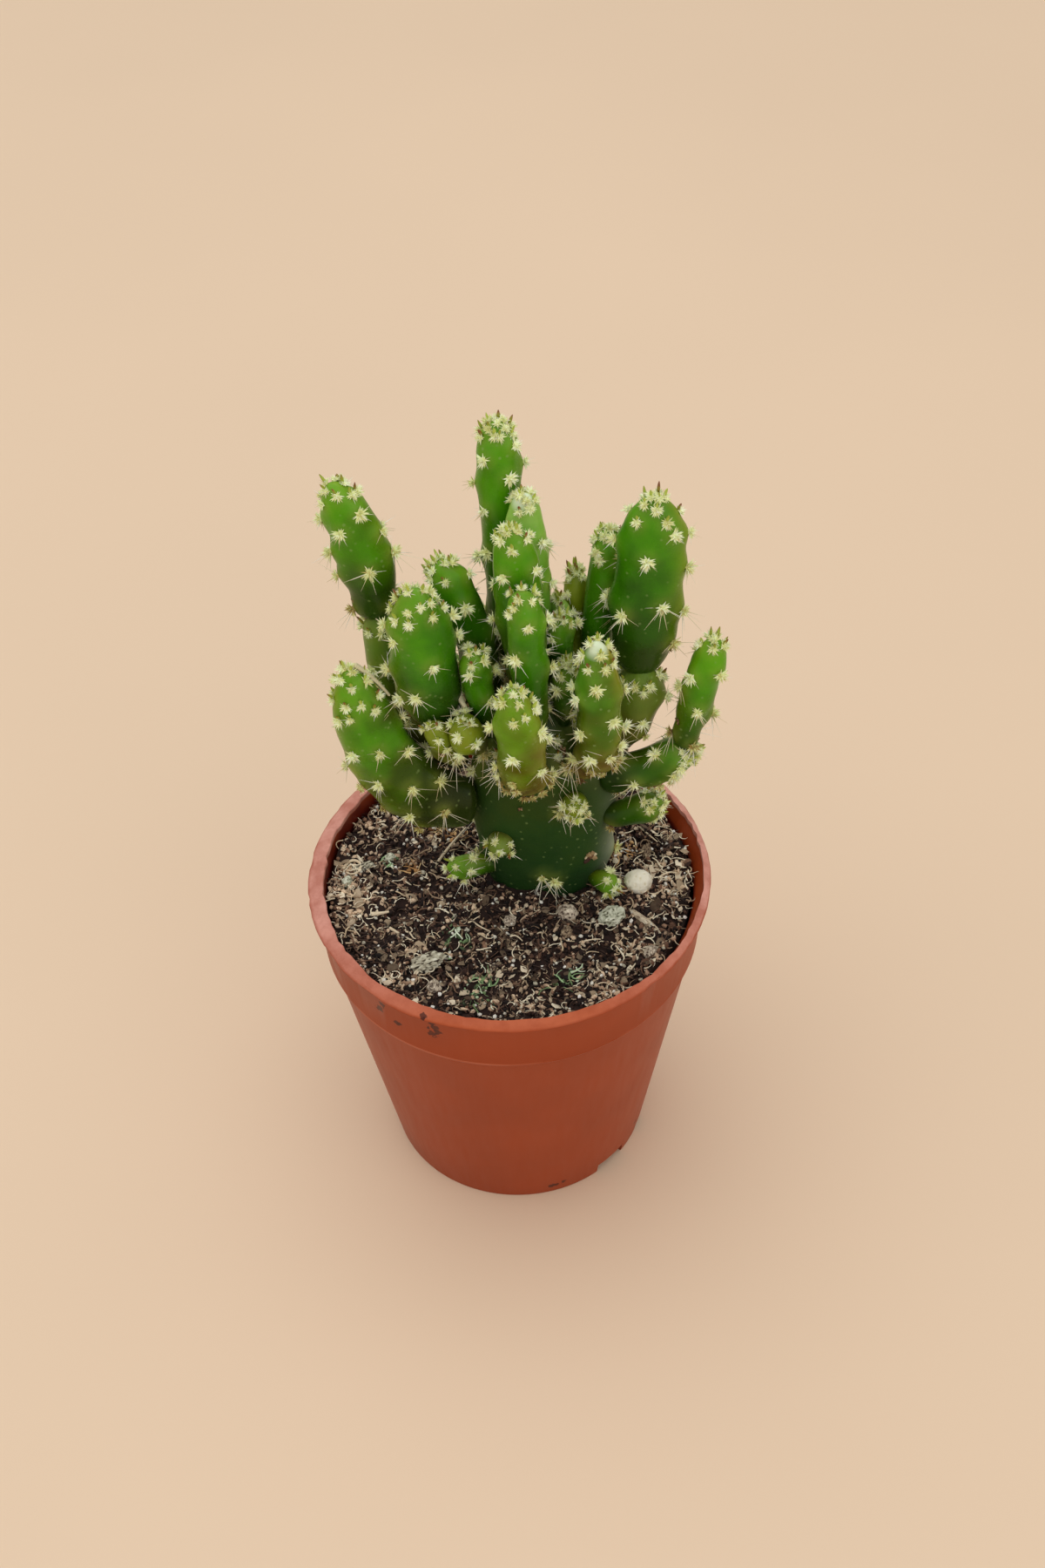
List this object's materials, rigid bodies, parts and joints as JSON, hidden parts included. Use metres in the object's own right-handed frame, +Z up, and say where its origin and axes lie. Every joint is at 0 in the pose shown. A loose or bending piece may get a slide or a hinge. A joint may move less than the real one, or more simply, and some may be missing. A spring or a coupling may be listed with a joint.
{
  "type": "potted paddle cactus",
  "caption": "Small bushy cactus of finger-like and oval segments with spine tufts, in a tapered plastic nursery pot of soil.",
  "frame": {"origin": "middle of the pot's flat foot disc, on the surface that the pot stands on", "axes": "+Z up along the pot's axis; -Y is the side that the picture shows; +X is to its right"},
  "size_m": [0.0566, 0.055, 0.1173],
  "materials": {
    "pot_plastic": "satin",
    "potting_soil": "rough",
    "old_flesh": "satin",
    "flesh": "satin",
    "young_flesh": "satin",
    "pebble": "rough",
    "grit": "rough",
    "bark": "rough"
  },
  "bodies": {
    "root": {"arm_right": "flesh", "ball_front_left": "young_flesh", "ball_left": "young_flesh", "bark_left": "bark", "bark_long": "bark", "bark_right": "bark", "bud_back": "young_flesh", "bud_face_left": "young_flesh", "bud_face_right": "young_flesh", "bud_foot_left": "young_flesh", "bud_foot_right": "young_flesh", "bud_inner": "young_flesh", "bud_inner_dark": "young_flesh", "bud_olive": "young_flesh", "bud_pale": "young_flesh", "finger_right": "flesh", "finger_right_low": "flesh", "grit_brown": "bark", "grit_flat": "grit", "grit_front": "bark", "grit_green": "grit", "grit_left": "grit", "grit_right": "grit", "grit_round": "grit", "neck_left": "flesh", "neck_right": "flesh", "paddle_back_centre": "flesh", "paddle_back_left": "flesh", "paddle_back_low": "flesh", "paddle_back_right": "flesh", "paddle_broad_left": "flesh", "paddle_broad_right": "flesh", "paddle_centre": "flesh", "paddle_centre_back": "flesh", "paddle_centre_small": "flesh", "paddle_low_centre": "flesh", "paddle_low_left": "flesh", "paddle_pale": "flesh", "paddle_right_behind": "flesh", "paddle_right_front": "flesh", "paddle_small_left": "flesh", "paddle_tall_left": "flesh", "paddle_tallest": "flesh", "pebble_round": "pebble", "pot": "pot_plastic", "soil": "potting_soil", "stone_rim": "grit", "trunk": "old_flesh", "twig": "bark"}
  },
  "joints": []
}
